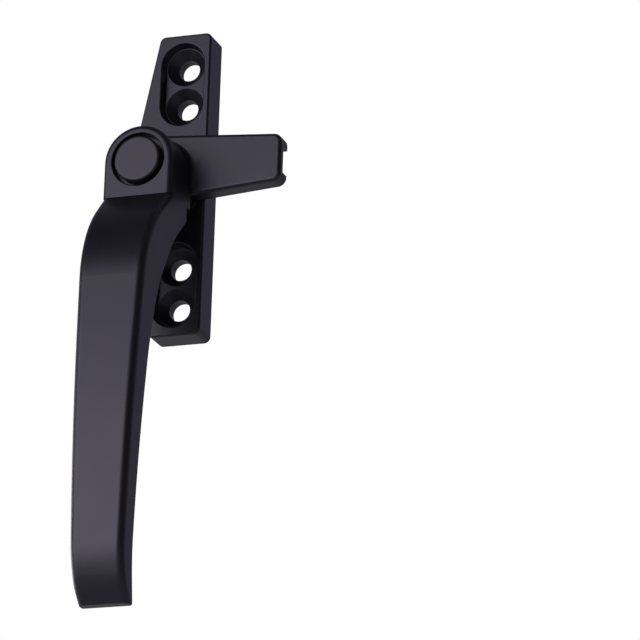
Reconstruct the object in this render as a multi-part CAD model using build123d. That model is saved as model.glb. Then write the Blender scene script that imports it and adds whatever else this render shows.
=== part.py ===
# Left-hand surface-mounted window lock handle, all sizes in millimetres.
# The frame is that of the fitted handle: X to the right, Z up, the window frame on the +Y side.
# The origin is on the turning axis, on the back face of the base plate.
# Depths are given as reach, the distance out from the back face, so reach r lies at Y = -r.

from build123d import *
import math
import os

# Base plate
PLATE_THICKNESS = 8.3
PLATE_RIGHT_WALL = 1.7        # from the screw recess to the straight right side
PLATE_END_WALL = 2.45         # from the screw recess to each narrow end
PLATE_END_LEFT = 3.05         # left corner of each narrow end, from the turning axis
PLATE_MIDDLE_LEFT = 11.5      # where the two sloping left sides would meet
PLATE_MIDDLE_RADIUS = 22.0
PLATE_CORNER_RADIUS = 1.7
PLATE_FRONT_ROUND = 0.6

# Screw holes, two at each end, in an oblong recess
HOLE_LINE_X = 3.75
HOLE_INNER_Z = 23.0
HOLE_PITCH = 11.5
HOLE_DIAMETER = 5.9
COUNTERSINK_DIAMETER = 10.8
COUNTERSINK_ANGLE = 90.0
RECESS_MARGIN = 0.75          # round the countersinks, at the plate's face
RECESS_DEPTH = 2.6
RECESS_DRAFT = 12.0
RECESS_FLOOR_ROUND = 0.2
RECESS_LIP_ROUND = 0.4

# Clearances
FACE_CLEARANCE = 0.1          # between flat faces that turn on each other
RUNNING_CLEARANCE = 0.05      # radial, pin in bush
FIT_CLEARANCE = 0.02          # radial, pieces pushed into a hole
LOOSE_CLEARANCE = 0.3         # radial, round a washer or a stop
WELL_CLEARANCE = 0.85         # radial, washers in the hub's well

# Pieces on the turning axis
BASE_WASHER_THICKNESS = 0.5
BASE_WASHER_INSET = 1.0       # inside the foot's edge
PIN_DIAMETER = 8.0
PIN_FLANGE_DIAMETER = 15.0
PIN_FLANGE_THICKNESS = 2.6
PIN_FLANGE_FLATS = 12.0
BUSH_WALL = 1.4
BUSH_FLANGE_THICKNESS = 0.8
THRUST_WASHER_THICKNESS = 0.8
DISC_SPRING_THICKNESS = 0.6
DISC_SPRING_HEIGHT = 1.2
RETAINING_WASHER_THICKNESS = 1.2
LOCK_WASHER_THICKNESS = 1.2
LOCK_WASHER_DIAMETER = 8.6
LOCK_WASHER_GAP = 0.8
SCREW_DIAMETER = 5.0
SCREW_LENGTH = 10.0
SCREW_HEAD_DIAMETER = 9.2
SCREW_HEAD_HEIGHT = 2.8
SCREW_HEAD_ROUND = 1.4
SCREW_HEAD_GAP = 3.0          # under the cover
SCREW_CROSS_WIDTH = 1.1
SCREW_CROSS_SPAN = 5.0
SCREW_CROSS_DEPTH = 1.7

# Turning stop
STOP_PIN_DIAMETER = 2.5
STOP_PIN_CHAMFER = 0.25
STOP_PIN_ANGLE = 135.0        # seen from the front, from +X towards +Z
STOP_PIN_STAND = 2.4          # above the plate's face
STOP_PIN_SUNK = 4.5
STOP_GROOVE_WALL = 1.2        # between the bush's bore and the groove
STOP_TRAVEL = 90.0

# Handle: round foot and tongue
FOOT_THICKNESS = 5.1
TONGUE_END_X = 34.9
TONGUE_MIDDLE_Z = 2.8
TONGUE_HALF_WIDTH = 6.6       # at the end
TONGUE_TAPER = 4.5            # each long side; the foot is tangent to the upper one
TONGUE_CORNER_RADIUS = 2.3
TONGUE_FRONT_ROUND = 1.0
TONGUE_SKIN = 2.1
TONGUE_WALL = 1.9
TRAY_START_GAP = 1.5          # from the foot's round
NOTCH_LOW_Z = -1.2
NOTCH_HIGH_Z = 5.9

# Handle: hub
HUB_HEIGHT = 14.3             # above the tongue's face
HUB_WALL = 2.4                # round the cover's well
HUB_DROP = 10.25              # lower edge of the hub's face, below the turning axis
HUB_EDGE_ROUND = 1.4
HUB_ROOT_ROUND = 1.0
FOOT_CUT_INSET = 2.4          # behind the hub's side, below the tongue
CAP_WELL_DIAMETER = 14.7
WELL_LIP_ROUND = 0.35

# Handle: neck and grip, in side view; a stand is how far a point is out from the hub's face
NECK_SLOPE = 45.5             # front of the neck, from upright
NECK_BEND_DROP = 24.6         # where the neck's slope would meet the grip's front
NECK_BEND_RADIUS = 34.0
GRIP_MIDDLE_DROP = 77.5
GRIP_MIDDLE_STAND = 17.5
GRIP_MIDDLE_RADIUS = 600.0
GRIP_NOSE_DROP = 113.3
GRIP_NOSE_STAND = 16.4
GRIP_NOSE_RADIUS = 30.0
GRIP_TOE_DROP = 121.1
GRIP_TOE_STAND = 13.7
GRIP_TOE_RADIUS = 13.0
GRIP_END_DROP = 124.8
GRIP_END_STAND = 6.4          # back of the end face
GRIP_END_THICKNESS = 3.6
GRIP_FRONT_ROUND = 1.9
GRIP_BACK_ROUND = 0.8
NECK_BACK_RISE = 1.45         # above the tongue's face
NECK_BACK_DROP = 14.3         # where the neck's back starts to slope
NECK_BACK_RADIUS = 1.2
BACK_DROPS = (23.0, 37.5, 54.0, 85.0, 112.0)
BACK_THICKNESSES = (19.0, 11.85, 9.3, 7.95, 7.5)
BACK_RADII = (38.0, 50.0, 120.0, 400.0, 60.0)

# Handle: neck and grip, in front view
GRIP_TAPER_DROP = 12.5
GRIP_TAPER_RADIUS = 150.0
GRIP_END_WIDTH = 14.1
GRIP_CORNER_RADIUS = 0.6

# Snap-in cover over the screw
CAP_STAND = 0.9               # above the hub's face
CAP_GROOVE_WIDTH = 0.95
CAP_GROOVE_DEPTH = 3.0
CAP_WALL = 1.0
CAP_SKIRT_GAP = 1.5           # above the retaining washer
CAP_EDGE_ROUND = 0.7

# Wear pad in the back of the tongue
PAD_CLEARANCE = 0.1
PAD_STAND = 0.15              # proud of the tongue's rim
PAD_END_GAP = 1.2             # short of the notched end wall

# Sizes that follow from those above
RECESS_WIDTH = COUNTERSINK_DIAMETER + 2 * RECESS_MARGIN
PLATE_RIGHT = HOLE_LINE_X + RECESS_WIDTH / 2 + PLATE_RIGHT_WALL
PLATE_HALF_HEIGHT = HOLE_INNER_Z + HOLE_PITCH + RECESS_WIDTH / 2 + PLATE_END_WALL
WASHER_DIAMETER = CAP_WELL_DIAMETER - 2 * WELL_CLEARANCE
CAP_FACE_DIAMETER = CAP_WELL_DIAMETER - 2 * CAP_GROOVE_WIDTH
HUB_RADIUS = CAP_WELL_DIAMETER / 2 + HUB_WALL
BUSH_BORE = PIN_DIAMETER + 2 * RUNNING_CLEARANCE
BUSH_DIAMETER = BUSH_BORE + 2 * BUSH_WALL
BUSH_HOLE = BUSH_DIAMETER + 2 * FIT_CLEARANCE
STOP_HOLE = STOP_PIN_DIAMETER + 2 * FIT_CLEARANCE
STOP_GROOVE_WIDTH = STOP_PIN_DIAMETER + 2 * LOOSE_CLEARANCE
STOP_PIN_RADIUS = BUSH_HOLE / 2 + STOP_GROOVE_WALL + STOP_GROOVE_WIDTH / 2
SCREW_HOLE = SCREW_DIAMETER + 2 * FIT_CLEARANCE

# Reach of each level, from the back face outwards
FOOT_REACH = PLATE_THICKNESS + BASE_WASHER_THICKNESS + FACE_CLEARANCE
TONGUE_REACH = FOOT_REACH + FOOT_THICKNESS
HUB_REACH = TONGUE_REACH + HUB_HEIGHT
SCREW_HEAD_REACH = HUB_REACH + CAP_STAND - CAP_WALL - SCREW_HEAD_GAP
LOCK_WASHER_REACH = SCREW_HEAD_REACH - SCREW_HEAD_HEIGHT
RETAINING_WASHER_REACH = LOCK_WASHER_REACH - LOCK_WASHER_THICKNESS
DISC_SPRING_REACH = RETAINING_WASHER_REACH - RETAINING_WASHER_THICKNESS
THRUST_WASHER_REACH = DISC_SPRING_REACH - DISC_SPRING_HEIGHT
BUSH_REACH = THRUST_WASHER_REACH - THRUST_WASHER_THICKNESS - FACE_CLEARANCE
WELL_FLOOR_REACH = BUSH_REACH - BUSH_FLANGE_THICKNESS

OUTSIDE = 60.0                # beyond every side of the handle's cross-section
CUT_START = 0.5               # how far outside a face a cut starts
LIP_TOLERANCE = 0.01          # for finding the well's edge by its radius


def at_reach(shape, reach):
    """Place a flat outline drawn in X and Z at a reach from the back face."""
    return Plane.XZ.offset(reach) * shape


def slab(shape, low, high):
    """Thicken an outline from one reach to another."""
    return extrude(at_reach(shape, low), amount=high - low)


def disc(diameter, low, high, x=0.0, z=0.0):
    return slab(Pos(x, z) * Circle(diameter / 2), low, high)


def ring(outer, inner, low, high):
    return disc(outer, low, high) - disc(inner, low - CUT_START, high + CUT_START)


def polar(radius, angle):
    return radius * math.cos(math.radians(angle)), radius * math.sin(math.radians(angle))


def plate_outline():
    # Narrow ends and a left side that slopes out to the middle, where it turns with a wide radius.
    corners = [
        (PLATE_RIGHT, PLATE_HALF_HEIGHT),
        (-PLATE_END_LEFT, PLATE_HALF_HEIGHT),
        (-PLATE_MIDDLE_LEFT, 0),
        (-PLATE_END_LEFT, -PLATE_HALF_HEIGHT),
        (PLATE_RIGHT, -PLATE_HALF_HEIGHT),
    ]
    rounds = [PLATE_CORNER_RADIUS] * 2 + [PLATE_MIDDLE_RADIUS] + [PLATE_CORNER_RADIUS] * 2
    return make_face(FilletPolyline(*corners, radius=rounds, close=True))


def screw_recess(side):
    # Drafted oblong recess, two countersinks in its floor and two clearance holes.
    middle = side * (HOLE_INNER_Z + HOLE_PITCH / 2)
    floor = PLATE_THICKNESS - RECESS_DEPTH
    mouth = at_reach(Pos(HOLE_LINE_X, middle) * Rot(0, 0, 90)
                     * SlotCenterToCenter(HOLE_PITCH, RECESS_WIDTH), PLATE_THICKNESS)
    cut = extrude(mouth, amount=-RECESS_DEPTH, taper=RECESS_DRAFT)
    floor_edges = cut.edges().filter_by_position(Axis.Y, -floor, -floor)
    cut = fillet(floor_edges, RECESS_FLOOR_ROUND)
    cone_depth = (COUNTERSINK_DIAMETER - HOLE_DIAMETER) / 2
    cone_depth = cone_depth / math.tan(math.radians(COUNTERSINK_ANGLE / 2))
    for z in (middle - HOLE_PITCH / 2, middle + HOLE_PITCH / 2):
        cut += disc(HOLE_DIAMETER, -CUT_START, floor, HOLE_LINE_X, z)
        wide = at_reach(Pos(HOLE_LINE_X, z) * Circle(COUNTERSINK_DIAMETER / 2), floor)
        cut += extrude(wide, amount=-cone_depth, taper=COUNTERSINK_ANGLE / 2)
    return cut


def is_recess_lip(edge):
    """Tell the mouth of a screw recess from the plate's own outline."""
    beside = abs(edge.center().X - HOLE_LINE_X) < RECESS_WIDTH / 2 + PLATE_RIGHT_WALL / 2
    return beside and abs(edge.center().Z) < PLATE_HALF_HEIGHT - PLATE_END_WALL / 2


def base_plate():
    # Die-cast plate, drilled for the pin and the stop, with a pocket for the pin's flange.
    body = slab(plate_outline(), 0, PLATE_THICKNESS)
    front = body.edges().filter_by_position(Axis.Y, -PLATE_THICKNESS, -PLATE_THICKNESS)
    body = fillet(front, PLATE_FRONT_ROUND)
    for side in (-1, 1):
        body -= screw_recess(side)
    front = body.edges().filter_by_position(Axis.Y, -PLATE_THICKNESS, -PLATE_THICKNESS)
    body = fillet(front.filter_by(is_recess_lip), RECESS_LIP_ROUND)
    body -= disc(PIN_DIAMETER + 2 * FIT_CLEARANCE, -CUT_START, PLATE_THICKNESS + CUT_START)
    body -= slab(flange_outline(FIT_CLEARANCE), -CUT_START, PIN_FLANGE_THICKNESS)
    x, z = polar(STOP_PIN_RADIUS, STOP_PIN_ANGLE)
    return body - disc(STOP_HOLE, PLATE_THICKNESS - STOP_PIN_SUNK, PLATE_THICKNESS + CUT_START, x, z)


def flange_outline(clearance):
    # Round flange with two flats, which keep the pin from turning in the plate.
    round_part = Circle(PIN_FLANGE_DIAMETER / 2 + clearance)
    return round_part & Rectangle(PIN_FLANGE_DIAMETER * 2, PIN_FLANGE_FLATS + 2 * clearance)


def pivot_pin():
    # Turned steel pin: flange at the back, plain shank, screw hole in its front end.
    body = slab(flange_outline(0), 0, PIN_FLANGE_THICKNESS) + disc(PIN_DIAMETER, 0, DISC_SPRING_REACH)
    hole_end = LOCK_WASHER_REACH - SCREW_LENGTH - LOOSE_CLEARANCE
    return body - disc(SCREW_HOLE, hole_end, DISC_SPRING_REACH + CUT_START)


def base_washer():
    # Thin nylon washer between the handle's foot and the plate, held by the stop pin.
    low = PLATE_THICKNESS
    high = low + BASE_WASHER_THICKNESS
    outer = 2 * (foot_radius() - BASE_WASHER_INSET)
    x, z = polar(STOP_PIN_RADIUS, STOP_PIN_ANGLE)
    body = ring(outer, PIN_DIAMETER + 2 * LOOSE_CLEARANCE, low, high)
    return body - disc(STOP_HOLE, low - CUT_START, high + CUT_START, x, z)


def stop_pin():
    x, z = polar(STOP_PIN_RADIUS, STOP_PIN_ANGLE)
    low = PLATE_THICKNESS - STOP_PIN_SUNK
    high = PLATE_THICKNESS + STOP_PIN_STAND
    body = disc(STOP_PIN_DIAMETER, low, high, x, z)
    return chamfer(body.edges().filter_by(GeomType.CIRCLE), STOP_PIN_CHAMFER)


def pivot_bush():
    # Acetal bush, pushed into the hub from the front, its flange on the well's floor.
    body = disc(BUSH_DIAMETER, FOOT_REACH, BUSH_REACH)
    body += disc(WASHER_DIAMETER, WELL_FLOOR_REACH, BUSH_REACH)
    return body - disc(BUSH_BORE, FOOT_REACH - CUT_START, BUSH_REACH + CUT_START)


def thrust_washer():
    low = THRUST_WASHER_REACH - THRUST_WASHER_THICKNESS
    return ring(WASHER_DIAMETER, BUSH_BORE, low, THRUST_WASHER_REACH)


def disc_spring():
    # Conical spring washer: its outer edge bears on the thrust washer, its inner edge in front.
    low = THRUST_WASHER_REACH
    high = DISC_SPRING_REACH
    inner = PIN_DIAMETER / 2 + LOOSE_CLEARANCE
    outer = WASHER_DIAMETER / 2
    section = Polyline((outer, -low), (outer, -low - DISC_SPRING_THICKNESS),
                       (inner, -high), (inner, -high + DISC_SPRING_THICKNESS), close=True)
    return revolve(make_face(section), Axis.Y)


def retaining_washer():
    return ring(WASHER_DIAMETER, SCREW_HOLE, DISC_SPRING_REACH, RETAINING_WASHER_REACH)


def lock_washer():
    # Split spring washer under the screw's head.
    body = ring(LOCK_WASHER_DIAMETER, SCREW_HOLE, RETAINING_WASHER_REACH, LOCK_WASHER_REACH)
    split = Pos(LOCK_WASHER_DIAMETER / 2, 0) * Rectangle(LOCK_WASHER_DIAMETER, LOCK_WASHER_GAP)
    return body - slab(split, RETAINING_WASHER_REACH - CUT_START, LOCK_WASHER_REACH + CUT_START)


def pivot_screw():
    # Pan-head screw with a cross recess, into the end of the pin.
    head = disc(SCREW_HEAD_DIAMETER, LOCK_WASHER_REACH, SCREW_HEAD_REACH)
    rim = head.edges().filter_by_position(Axis.Y, -SCREW_HEAD_REACH, -SCREW_HEAD_REACH)
    head = fillet(rim, SCREW_HEAD_ROUND)
    for width, height in ((SCREW_CROSS_SPAN, SCREW_CROSS_WIDTH), (SCREW_CROSS_WIDTH, SCREW_CROSS_SPAN)):
        head -= slab(Rectangle(width, height), SCREW_HEAD_REACH - SCREW_CROSS_DEPTH, HUB_REACH)
    return head + disc(SCREW_DIAMETER, LOCK_WASHER_REACH - SCREW_LENGTH, LOCK_WASHER_REACH)


def pivot_cap():
    # Moulded cover: a raised round face, a sunk rim and a skirt that grips the well.
    top = HUB_REACH + CAP_STAND
    rim = HUB_REACH - CAP_GROOVE_DEPTH
    outer = CAP_WELL_DIAMETER - 2 * FIT_CLEARANCE
    hollow = CAP_FACE_DIAMETER - 2 * CAP_WALL
    face = disc(CAP_FACE_DIAMETER, rim - CAP_WALL, top)
    edge = face.edges().filter_by_position(Axis.Y, -top, -top)
    face = fillet(edge, CAP_EDGE_ROUND)
    face -= disc(hollow, rim - CAP_WALL - CUT_START, top - CAP_WALL)
    hoop = ring(outer, hollow, rim - CAP_WALL, rim)
    skirt = ring(outer, outer - 2 * CAP_WALL, RETAINING_WASHER_REACH + CAP_SKIRT_GAP, rim - CAP_WALL)
    return face + hoop + skirt


def tongue_half_width(x, inset=0.0):
    """Half the tongue's width at x, or of an outline drawn inside it by an inset."""
    slope = math.tan(math.radians(TONGUE_TAPER))
    side = inset / math.cos(math.radians(TONGUE_TAPER))
    return TONGUE_HALF_WIDTH + (TONGUE_END_X - x) * slope - side


def tongue_outline(start, end, inset, radius):
    low_start = TONGUE_MIDDLE_Z - tongue_half_width(start, inset)
    high_start = TONGUE_MIDDLE_Z + tongue_half_width(start, inset)
    low_end = TONGUE_MIDDLE_Z - tongue_half_width(end, inset)
    high_end = TONGUE_MIDDLE_Z + tongue_half_width(end, inset)
    corners = [(start, low_start), (end, low_end), (end, high_end), (start, high_start)]
    return make_face(FilletPolyline(*corners, radius=radius) + Line(corners[-1], corners[0]))


def foot_radius():
    """Radius of the foot that the tongue's upper side is tangent to."""
    return (TONGUE_MIDDLE_Z + tongue_half_width(0)) * math.cos(math.radians(TONGUE_TAPER))


def foot_cut(inset):
    """Corner that the round foot lacks below the tongue, behind the hub's side."""
    left = HUB_RADIUS - FOOT_CUT_INSET - inset
    right = foot_radius() + CUT_START
    corners = [
        (left, TONGUE_MIDDLE_Z - tongue_half_width(left, inset)),
        (right, TONGUE_MIDDLE_Z - tongue_half_width(right, inset)),
        (right, -right),
        (left, -right),
    ]
    return make_face(Polyline(*corners, close=True))


def foot_outline(inset):
    """Round foot and tapered tongue, or the same drawn inside it by an inset."""
    start = foot_radius() * math.sin(math.radians(TONGUE_TAPER))
    tongue = tongue_outline(start, TONGUE_END_X - inset, inset, TONGUE_CORNER_RADIUS)
    return Circle(foot_radius() - inset) + tongue - foot_cut(inset)


def foot_and_tongue():
    # Round foot on the plate and the flat tapered tongue.
    body = slab(foot_outline(0), FOOT_REACH, TONGUE_REACH)
    edges = body.edges().filter_by_position(Axis.Y, -TONGUE_REACH, -TONGUE_REACH)
    return fillet(edges, TONGUE_FRONT_ROUND)


def tongue_hollow():
    # The tongue is cored from behind into a tray, and its end wall has a notch.
    start = foot_radius() + TRAY_START_GAP
    floor = TONGUE_REACH - TONGUE_SKIN
    tray = tongue_outline(start, TONGUE_END_X - TONGUE_WALL, TONGUE_WALL, TONGUE_FRONT_ROUND)
    notch = Pos(TONGUE_END_X, (NOTCH_LOW_Z + NOTCH_HIGH_Z) / 2)
    notch = notch * Rectangle(3 * TONGUE_WALL, NOTCH_HIGH_Z - NOTCH_LOW_Z)
    return slab(tray + notch, FOOT_REACH - CUT_START, floor)


def hub_outline():
    return Circle(HUB_RADIUS) + Pos(0, -HUB_DROP / 2) * Rectangle(2 * HUB_RADIUS, HUB_DROP)


def hub():
    # Block with a half-round top and a square lower side.
    body = slab(hub_outline(), TONGUE_REACH, HUB_REACH)
    edges = body.edges().filter_by_position(Axis.Y, -HUB_REACH, -HUB_REACH)
    upper = edges.filter_by(lambda edge: edge.center().Z > -HUB_DROP + HUB_EDGE_ROUND)
    return fillet(upper, HUB_EDGE_ROUND)


def hub_root():
    # Concave round between the hub's side and the flat top of the foot and tongue.
    high = TONGUE_REACH + 2 * HUB_ROOT_ROUND
    body = slab(Rectangle(2 * OUTSIDE, 2 * OUTSIDE), FOOT_REACH, TONGUE_REACH)
    body += slab(hub_outline(), TONGUE_REACH, high)
    corner = body.edges().filter_by_position(Axis.Y, -TONGUE_REACH, -TONGUE_REACH)
    body = fillet(corner.filter_by(lambda edge: edge.center().length < OUTSIDE), HUB_ROOT_ROUND)
    return body & slab(foot_outline(TONGUE_FRONT_ROUND), FOOT_REACH, high)


def front_reach(drop):
    """Reach of the grip's two long front lines at a drop below the turning axis."""
    bend = (NECK_BEND_DROP - HUB_DROP) * math.tan(math.radians(NECK_SLOPE))
    if drop < GRIP_MIDDLE_DROP:
        share = (drop - NECK_BEND_DROP) / (GRIP_MIDDLE_DROP - NECK_BEND_DROP)
        return HUB_REACH + bend + max(share, 0) * (GRIP_MIDDLE_STAND - bend)
    share = (drop - GRIP_MIDDLE_DROP) / (GRIP_NOSE_DROP - GRIP_MIDDLE_DROP)
    return HUB_REACH + GRIP_MIDDLE_STAND + share * (GRIP_NOSE_STAND - GRIP_MIDDLE_STAND)


def grip_side():
    # Side view: the neck slopes out from the hub, the grip hangs nearly upright, its end turns back.
    top_reach = HUB_REACH - HUB_DROP * math.tan(math.radians(NECK_SLOPE))
    front = [
        (-top_reach, 0),
        (-front_reach(NECK_BEND_DROP), -NECK_BEND_DROP),
        (-front_reach(GRIP_MIDDLE_DROP), -GRIP_MIDDLE_DROP),
        (-HUB_REACH - GRIP_NOSE_STAND, -GRIP_NOSE_DROP),
        (-HUB_REACH - GRIP_TOE_STAND, -GRIP_TOE_DROP),
        (-HUB_REACH - GRIP_END_STAND - GRIP_END_THICKNESS, -GRIP_END_DROP),
    ]
    front_radii = [NECK_BEND_RADIUS, GRIP_MIDDLE_RADIUS, GRIP_NOSE_RADIUS, GRIP_TOE_RADIUS]
    neck_back = TONGUE_REACH + NECK_BACK_RISE
    back = [(-neck_back, 0), (-neck_back, -NECK_BACK_DROP)]
    for drop, thickness in zip(BACK_DROPS, BACK_THICKNESSES):
        back.append((thickness - front_reach(drop), -drop))
    back.append((-HUB_REACH - GRIP_END_STAND, -GRIP_END_DROP))
    outline = FilletPolyline(*front, radius=front_radii)
    outline += Line(front[-1], back[-1])
    outline += FilletPolyline(*back, radius=[NECK_BACK_RADIUS, *BACK_RADII])
    outline += Line(back[0], front[0])
    return make_face(Plane.YZ * outline)


def grip_front():
    # Front view: the hub's width at the top, then an even taper to the end.
    right = [(HUB_RADIUS, 0), (HUB_RADIUS, -GRIP_TAPER_DROP), (GRIP_END_WIDTH / 2, -GRIP_END_DROP)]
    left = [(-x, z) for x, z in reversed(right)]
    path = FilletPolyline(*right, radius=GRIP_TAPER_RADIUS) + Line(right[-1], left[0])
    path += FilletPolyline(*left, radius=GRIP_TAPER_RADIUS) + Line(left[-1], right[0])
    return make_face(path)


def side_edges(body, way):
    """Edges where the grip's side faces meet the faces that look one way along Y."""
    sides = body.faces().filter_by(lambda face: abs(face.normal_at().X) > 0.9)
    looking = body.faces().filter_by(lambda face: way * face.normal_at().Y > 0.1)
    return [edge for edge in sides.edges() if edge in looking.edges()]


def neck_and_grip():
    body = extrude(grip_side(), amount=2 * HUB_RADIUS, both=True)
    body &= slab(grip_front(), 0, OUTSIDE)
    body = fillet(side_edges(body, -1), GRIP_FRONT_ROUND)
    body = fillet(side_edges(body, 1), GRIP_BACK_ROUND)
    sides = body.faces().filter_by(lambda face: abs(face.normal_at().X) > 0.9)
    end = body.faces().sort_by(Axis.Z)[0]
    corners = [edge for edge in sides.edges() if edge in end.edges()]
    return fillet(corners, GRIP_CORNER_RADIUS)


def heel():
    # Fills between the foot and the back of the neck, inside the foot's round.
    return slab(Circle(foot_radius()) & grip_front(), TONGUE_REACH, TONGUE_REACH + NECK_BACK_RISE)


def stop_groove():
    # Arc in the foot's back that the stop pin runs in, one end for each end of the travel.
    spine = CenterArc((0, 0), STOP_PIN_RADIUS, STOP_PIN_ANGLE, STOP_TRAVEL)
    high = PLATE_THICKNESS + STOP_PIN_STAND + LOOSE_CLEARANCE
    return slab(SlotArc(spine, STOP_GROOVE_WIDTH), FOOT_REACH - CUT_START, high)


def handle():
    # One casting: foot, tongue, hub, neck and grip, bored for the bush and the cover.
    body = foot_and_tongue() + hub() + hub_root() + heel() + neck_and_grip()
    body -= tongue_hollow()
    body -= disc(BUSH_HOLE, FOOT_REACH - CUT_START, WELL_FLOOR_REACH + CUT_START)
    body -= disc(CAP_WELL_DIAMETER, WELL_FLOOR_REACH, HUB_REACH + CUT_START)
    lip = body.edges().filter_by_position(Axis.Y, -HUB_REACH, -HUB_REACH).filter_by(GeomType.CIRCLE)
    lip = lip.filter_by(lambda edge: abs(edge.radius - CAP_WELL_DIAMETER / 2) < LIP_TOLERANCE)
    body = fillet(lip, WELL_LIP_ROUND)
    return body - stop_groove()


def tongue_pad():
    # Nylon pad pushed into the tray, which slides on the catch.
    end = TONGUE_END_X - TONGUE_WALL - PAD_END_GAP
    start = foot_radius() + TRAY_START_GAP + PAD_CLEARANCE
    flat = tongue_outline(start, end, TONGUE_WALL + PAD_CLEARANCE, TONGUE_FRONT_ROUND)
    return slab(flat, FOOT_REACH - PAD_STAND, TONGUE_REACH - TONGUE_SKIN)


PIECES = {
    "base_plate": base_plate,
    "pivot_pin": pivot_pin,
    "stop_pin": stop_pin,
    "base_washer": base_washer,
    "thrust_washer": thrust_washer,
    "disc_spring": disc_spring,
    "retaining_washer": retaining_washer,
    "lock_washer": lock_washer,
    "pivot_screw": pivot_screw,
    "handle": handle,
    "pivot_bush": pivot_bush,
    "pivot_cap": pivot_cap,
    "tongue_pad": tongue_pad,
}

os.makedirs("parts", exist_ok=True)
for name, make in PIECES.items():
    export_step(make(), f"parts/{name}.step")
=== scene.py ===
import math

import bpy
from mathutils import Matrix, Vector

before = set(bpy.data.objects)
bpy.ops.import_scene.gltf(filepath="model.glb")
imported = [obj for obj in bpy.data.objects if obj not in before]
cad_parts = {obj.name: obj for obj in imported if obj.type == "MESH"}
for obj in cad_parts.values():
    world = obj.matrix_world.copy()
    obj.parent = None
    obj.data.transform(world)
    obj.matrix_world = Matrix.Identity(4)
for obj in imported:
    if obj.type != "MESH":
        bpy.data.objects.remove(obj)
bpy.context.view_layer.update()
bpy.ops.object.select_all(action="DESELECT")

# The camera looks up at the handle from the right and from below, through a long lens.
# The handle's turning axis meets the window frame at the origin of all sizes, so the
# camera's place is found from the spot where that point falls in the picture.
PICTURE_SIDE = 640
ORIGIN_COLUMN = 176.05
ORIGIN_ROW = 195.37
CAMERA_AZIMUTH = math.radians(19.90)
CAMERA_ELEVATION = math.radians(-19.01)
CAMERA_ROLL = math.radians(1.82)
METRES_PER_PIXEL = 0.00027
FOCAL_PIXELS = 4600
SENSOR_WIDTH_MM = 36
NEAREST_SEEN = 0.05
FARTHEST_SEEN = 20

towards_camera = Vector((
    math.sin(CAMERA_AZIMUTH) * math.cos(CAMERA_ELEVATION),
    -math.cos(CAMERA_AZIMUTH) * math.cos(CAMERA_ELEVATION),
    math.sin(CAMERA_ELEVATION)))
level_right = (-towards_camera).cross(Vector((0, 0, 1))).normalized()
level_up = level_right.cross(-towards_camera)
picture_right = level_right * math.cos(CAMERA_ROLL) + level_up * math.sin(CAMERA_ROLL)
picture_up = level_up * math.cos(CAMERA_ROLL) - level_right * math.sin(CAMERA_ROLL)
column = ORIGIN_COLUMN - PICTURE_SIDE / 2
row = ORIGIN_ROW - PICTURE_SIDE / 2
camera_place = FOCAL_PIXELS * towards_camera - column * picture_right + row * picture_up

camera_data = bpy.data.cameras.new("camera")
camera_data.sensor_width = SENSOR_WIDTH_MM
camera_data.lens = SENSOR_WIDTH_MM * FOCAL_PIXELS / PICTURE_SIDE
camera_data.clip_start = NEAREST_SEEN
camera_data.clip_end = FARTHEST_SEEN
camera = bpy.data.objects.new("camera", camera_data)
bpy.context.scene.collection.objects.link(camera)
turn = Matrix((picture_right, picture_up, towards_camera)).transposed().to_4x4()
camera.matrix_world = Matrix.Translation(camera_place * METRES_PER_PIXEL) @ turn
bpy.context.scene.camera = camera
bpy.context.scene.view_settings.view_transform = "Standard"


def linear(hex_colour):
    """An sRGB hex colour as the linear colour that a node takes."""
    parts = [int(hex_colour[i:i + 2], 16) / 255 for i in (1, 3, 5)]
    return [p / 12.92 if p <= 0.04045 else ((p + 0.055) / 1.055) ** 2.4 for p in parts] + [1]


def add_node(tree, kind, settings=None, links=None):
    """A node with its settings, and links from other nodes' outputs to its inputs."""
    node = tree.nodes.new(kind)
    for name, value in (settings or {}).items():
        if isinstance(name, int) or name in node.inputs:
            node.inputs[name].default_value = value
        else:
            setattr(node, name, value)
    for name, output in (links or {}).items():
        tree.links.new(output, node.inputs[name])
    return node


# Light comes from one large soft panel, in front, to the left and a little above, as in a
# product studio, with a smaller one at the left that draws the thin light rims.
LIT_SPOT = Vector((0, -0.02, -0.04))
PANEL_DISTANCE = 1.1
FRONT_PANEL = Vector((-0.496, -0.86, 0.122))
FRONT_PANEL_WIDTH = 1.2
FRONT_PANEL_HEIGHT = 0.67
FRONT_PANEL_POWER = 10.2
RIM_PANEL = Vector((-0.95, 0.30, 0.05))
RIM_PANEL_SIDE = 0.45
RIM_PANEL_POWER = 3.5

for name, way, width, height, power in (
        ("front_panel", FRONT_PANEL, FRONT_PANEL_WIDTH, FRONT_PANEL_HEIGHT, FRONT_PANEL_POWER),
        ("rim_panel", RIM_PANEL, RIM_PANEL_SIDE, RIM_PANEL_SIDE, RIM_PANEL_POWER)):
    light = bpy.data.lights.new(name, "AREA")
    light.shape = "RECTANGLE"
    light.size = width
    light.size_y = height
    light.energy = power
    panel = bpy.data.objects.new(name, light)
    bpy.context.scene.collection.objects.link(panel)
    panel.location = LIT_SPOT + way.normalized() * PANEL_DISTANCE
    panel.rotation_euler = (LIT_SPOT - panel.location).to_track_quat("-Z", "Y").to_euler()

# White paper stands behind the handle. The camera sees it as plain white. In the gloss of
# the handle it is dimmer and a little cooler, and the room in front of the handle is
# nearly dark. The paper also fills the shadows a little.
FILL_LEVEL = 0.3
ROOM_GLOSS_LEVEL = 0.06
PAPER_GLOSS_LEVEL = 0.32
ROOM_ENDS_AT = -0.2
PAPER_STARTS_AT = 0.7

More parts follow.
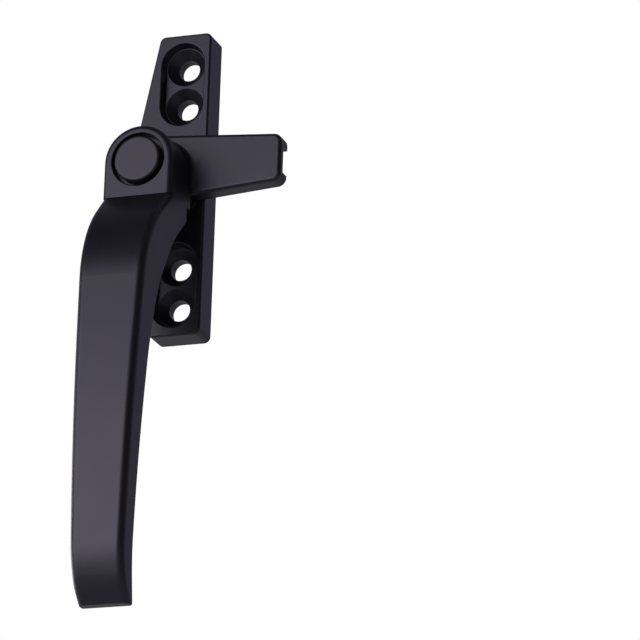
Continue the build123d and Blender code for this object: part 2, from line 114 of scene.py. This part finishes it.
world = bpy.data.worlds.new("studio")
bpy.context.scene.world = world
world.use_nodes = True
tree = world.node_tree
tree.nodes.clear()
ray = add_node(tree, "ShaderNodeLightPath")
sky = add_node(tree, "ShaderNodeTexCoord")
direction = add_node(tree, "ShaderNodeSeparateXYZ", links={0: sky.outputs["Generated"]})
gloss_level = add_node(tree, "ShaderNodeMapRange", {
    "interpolation_type": "SMOOTHSTEP", "From Min": ROOM_ENDS_AT, "From Max": PAPER_STARTS_AT,
    "To Min": ROOM_GLOSS_LEVEL, "To Max": PAPER_GLOSS_LEVEL}, {"Value": direction.outputs["Y"]})
seen = add_node(tree, "ShaderNodeMath", {"operation": "MAXIMUM"},
                {0: ray.outputs["Is Camera Ray"], 1: ray.outputs["Is Transmission Ray"]})
unseen_level = add_node(tree, "ShaderNodeMix", {"data_type": "FLOAT", 2: FILL_LEVEL},
                        {0: ray.outputs["Is Glossy Ray"], 3: gloss_level.outputs["Result"]})
level = add_node(tree, "ShaderNodeMath", {"operation": "MAXIMUM"},
                 {0: seen.outputs[0], 1: unseen_level.outputs[0]})
colour = add_node(tree, "ShaderNodeMix", {
    "data_type": "RGBA", 6: linear("#ffffff"), 7: linear("#e2dfff")}, {0: ray.outputs["Is Glossy Ray"]})
paper = add_node(tree, "ShaderNodeBackground", links={
    "Color": colour.outputs[2], "Strength": level.outputs[0]})
add_node(tree, "ShaderNodeOutputWorld", links={"Surface": paper.outputs[0]})


def empty_material(name):
    """A named material whose node tree is still empty."""
    material = bpy.data.materials.new(name)
    material.use_nodes = True
    material.node_tree.nodes.clear()
    return material


# The floor is pale paper well below the handle, which hangs where its window frame would
# hold it. To the camera it is nearly as white as the paper behind, with a soft shadow. Seen
# from below it lets every ray through, because this view looks up past it.
FLOOR_HEIGHT = -0.19
FLOOR_SIDE = 6
FLOOR_WHITENESS = 0.88

bpy.ops.mesh.primitive_plane_add(size=FLOOR_SIDE, location=(0, 0, FLOOR_HEIGHT))
floor = bpy.context.object
floor.name = "floor"
pale_paper = empty_material("pale seamless paper")
tree = pale_paper.node_tree
side = add_node(tree, "ShaderNodeNewGeometry")
ray = add_node(tree, "ShaderNodeLightPath")
matt = add_node(tree, "ShaderNodeBsdfDiffuse", {"Color": linear("#e9e9ea")})
bright = add_node(tree, "ShaderNodeEmission", {"Color": linear("#fbfbfc"), "Strength": 1})
whiteness = add_node(tree, "ShaderNodeMath", {"operation": "MULTIPLY", 1: FLOOR_WHITENESS},
                     {0: ray.outputs["Is Camera Ray"]})
top = add_node(tree, "ShaderNodeMixShader", links={
    0: whiteness.outputs[0], 1: matt.outputs[0], 2: bright.outputs[0]})
open_air = add_node(tree, "ShaderNodeBsdfTransparent")
either = add_node(tree, "ShaderNodeMixShader", links={
    0: side.outputs["Backfacing"], 1: top.outputs[0], 2: open_air.outputs[0]})
add_node(tree, "ShaderNodeOutputMaterial", links={"Surface": either.outputs[0]})
floor.data.materials.append(pale_paper)
floor.select_set(False)


def finish_with(node, material):
    """Give a piece of the frame its finished surface."""
    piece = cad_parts[node]
    piece.data.materials.clear()
    piece.data.materials.append(material)


# Nearly all values of a noise texture lie between these two.
NOISE_LOW = 0.3
NOISE_HIGH = 0.7
MM_PER_METRE = 1000

# The handle and its base plate are zinc die castings under a satin black powder coat.
# The powder is sprayed on dry and melts in an oven, which leaves a soft skin with low
# ripples about half a millimetre apart and rounds every edge a little.
RIPPLE_MM = 0.55
RIPPLE_DEPTH_MM = 0.004
COAT_CLOUD_MM = 9.0

black_coat = empty_material("satin black powder coat on zinc casting")
tree = black_coat.node_tree
place = add_node(tree, "ShaderNodeTexCoord")
ripple = add_node(tree, "ShaderNodeTexNoise", {
    "Scale": MM_PER_METRE / RIPPLE_MM, "Detail": 2.0, "Roughness": 0.5},
    {"Vector": place.outputs["Object"]})
skin = add_node(tree, "ShaderNodeBump", {
    "Strength": 0.6, "Distance": RIPPLE_DEPTH_MM / MM_PER_METRE}, {"Height": ripple.outputs[0]})
cloud = add_node(tree, "ShaderNodeTexNoise", {
    "Scale": MM_PER_METRE / COAT_CLOUD_MM, "Detail": 3.0, "Roughness": 0.6},
    {"Vector": place.outputs["Object"]})
satin = add_node(tree, "ShaderNodeMapRange", {
    "From Min": NOISE_LOW, "From Max": NOISE_HIGH, "To Min": 0.4, "To Max": 0.42},
    {"Value": cloud.outputs[0]})
shader = add_node(tree, "ShaderNodeBsdfPrincipled", {
    "Base Color": linear("#0e0d12"), "IOR": 1.5, "Specular Tint": linear("#e9e2ff")},
    {"Roughness": satin.outputs["Result"], "Normal": skin.outputs[0]})
add_node(tree, "ShaderNodeOutputMaterial", links={"Surface": shader.outputs[0]})
for node in ("handle", "base_plate"):
    finish_with(node, black_coat)

# The round cover over the screw is a black nylon moulding, pushed into the hub. Its steel
# mould was spark-eroded, so its face has a fine even grain, a touch duller than the coat.
GRAIN_MM = 0.35
GRAIN_DEPTH_MM = 0.006

grained_nylon = empty_material("black nylon moulded with a spark grain")
tree = grained_nylon.node_tree
place = add_node(tree, "ShaderNodeTexCoord")
grain = add_node(tree, "ShaderNodeTexVoronoi", {"Scale": MM_PER_METRE / GRAIN_MM},
                 {"Vector": place.outputs["Object"]})
skin = add_node(tree, "ShaderNodeBump", {
    "Strength": 0.5, "Distance": GRAIN_DEPTH_MM / MM_PER_METRE}, {"Height": grain.outputs[0]})
shader = add_node(tree, "ShaderNodeBsdfPrincipled", {
    "Base Color": linear("#0e0d12"), "Roughness": 0.43, "IOR": 1.53,
    "Specular Tint": linear("#ebe4ff")}, {"Normal": skin.outputs[0]})
add_node(tree, "ShaderNodeOutputMaterial", links={"Surface": shader.outputs[0]})
finish_with("pivot_cap", grained_nylon)

# The washer under the handle's foot and the wear pad in the tongue are plain black nylon,
# stamped from sheet and moulded, with a smooth face that has dulled a little in patches.
DULL_PATCH_MM = 3.0

plain_nylon = empty_material("plain black nylon")
tree = plain_nylon.node_tree
place = add_node(tree, "ShaderNodeTexCoord")
patches = add_node(tree, "ShaderNodeTexNoise", {
    "Scale": MM_PER_METRE / DULL_PATCH_MM, "Detail": 2.0}, {"Vector": place.outputs["Object"]})
dulled = add_node(tree, "ShaderNodeMapRange", {
    "From Min": NOISE_LOW, "From Max": NOISE_HIGH, "To Min": 0.42, "To Max": 0.58},
    {"Value": patches.outputs[0]})
shader = add_node(tree, "ShaderNodeBsdfPrincipled", {
    "Base Color": linear("#161618"), "IOR": 1.53}, {"Roughness": dulled.outputs["Result"]})
add_node(tree, "ShaderNodeOutputMaterial", links={"Surface": shader.outputs[0]})
for node in ("base_washer", "tongue_pad"):
    finish_with(node, plain_nylon)

# The bush is turned from natural acetal rod. Its faces show the fine rings of the lathe
# tool, and the plastic is milky, with a waxy shine.
FEED_MM = 0.2
RING_DEPTH_MM = 0.004
WAVE_PERIOD = math.tau / 20  # of a wave texture whose scale is 1

turned_acetal = empty_material("natural acetal turned from rod")
tree = turned_acetal.node_tree
place = add_node(tree, "ShaderNodeTexCoord")
rings = add_node(tree, "ShaderNodeTexWave", {
    "wave_type": "RINGS", "rings_direction": "Y", "Scale": WAVE_PERIOD * MM_PER_METRE / FEED_MM},
    {"Vector": place.outputs["Object"]})
skin = add_node(tree, "ShaderNodeBump", {
    "Strength": 0.4, "Distance": RING_DEPTH_MM / MM_PER_METRE}, {"Height": rings.outputs[0]})
shader = add_node(tree, "ShaderNodeBsdfPrincipled", {
    "Base Color": linear("#e6e3da"), "Roughness": 0.35, "IOR": 1.48}, {"Normal": skin.outputs[0]})
add_node(tree, "ShaderNodeOutputMaterial", links={"Surface": shader.outputs[0]})
finish_with("pivot_bush", turned_acetal)

# The pin, stop, screw and flat washers are turned or stamped steel, barrel-plated with
# bright zinc, which has a cool shine and clouds where the pieces lay together.
ZINC_CLOUD_MM = 2.5

bright_zinc = empty_material("steel with bright zinc plate")
tree = bright_zinc.node_tree
place = add_node(tree, "ShaderNodeTexCoord")
cloud = add_node(tree, "ShaderNodeTexNoise", {
    "Scale": MM_PER_METRE / ZINC_CLOUD_MM, "Detail": 3.0}, {"Vector": place.outputs["Object"]})
tint = add_node(tree, "ShaderNodeMix", {
    "data_type": "RGBA", 6: linear("#b9bcc2"), 7: linear("#cfd0d2")}, {0: cloud.outputs[0]})
shine = add_node(tree, "ShaderNodeMapRange", {
    "From Min": NOISE_LOW, "From Max": NOISE_HIGH, "To Min": 0.22, "To Max": 0.38},
    {"Value": cloud.outputs[0]})
shader = add_node(tree, "ShaderNodeBsdfPrincipled", {"Metallic": 1.0}, {
    "Base Color": tint.outputs[2], "Roughness": shine.outputs["Result"]})
add_node(tree, "ShaderNodeOutputMaterial", links={"Surface": shader.outputs[0]})
for node in ("pivot_pin", "stop_pin", "thrust_washer", "retaining_washer", "pivot_screw"):
    finish_with(node, bright_zinc)

# The disc spring and the split washer are hardened spring steel, left dark from the
# quench and oiled, so they shine only softly.
SCALE_PATCH_MM = 1.2

dark_spring_steel = empty_material("oil-black spring steel")
tree = dark_spring_steel.node_tree
place = add_node(tree, "ShaderNodeTexCoord")
patches = add_node(tree, "ShaderNodeTexNoise", {
    "Scale": MM_PER_METRE / SCALE_PATCH_MM, "Detail": 4.0}, {"Vector": place.outputs["Object"]})
tint = add_node(tree, "ShaderNodeMix", {
    "data_type": "RGBA", 6: linear("#3a3a40"), 7: linear("#55555a")}, {0: patches.outputs[0]})
shader = add_node(tree, "ShaderNodeBsdfPrincipled", {"Metallic": 1.0, "Roughness": 0.4}, {
    "Base Color": tint.outputs[2]})
add_node(tree, "ShaderNodeOutputMaterial", links={"Surface": shader.outputs[0]})
for node in ("disc_spring", "lock_washer"):
    finish_with(node, dark_spring_steel)
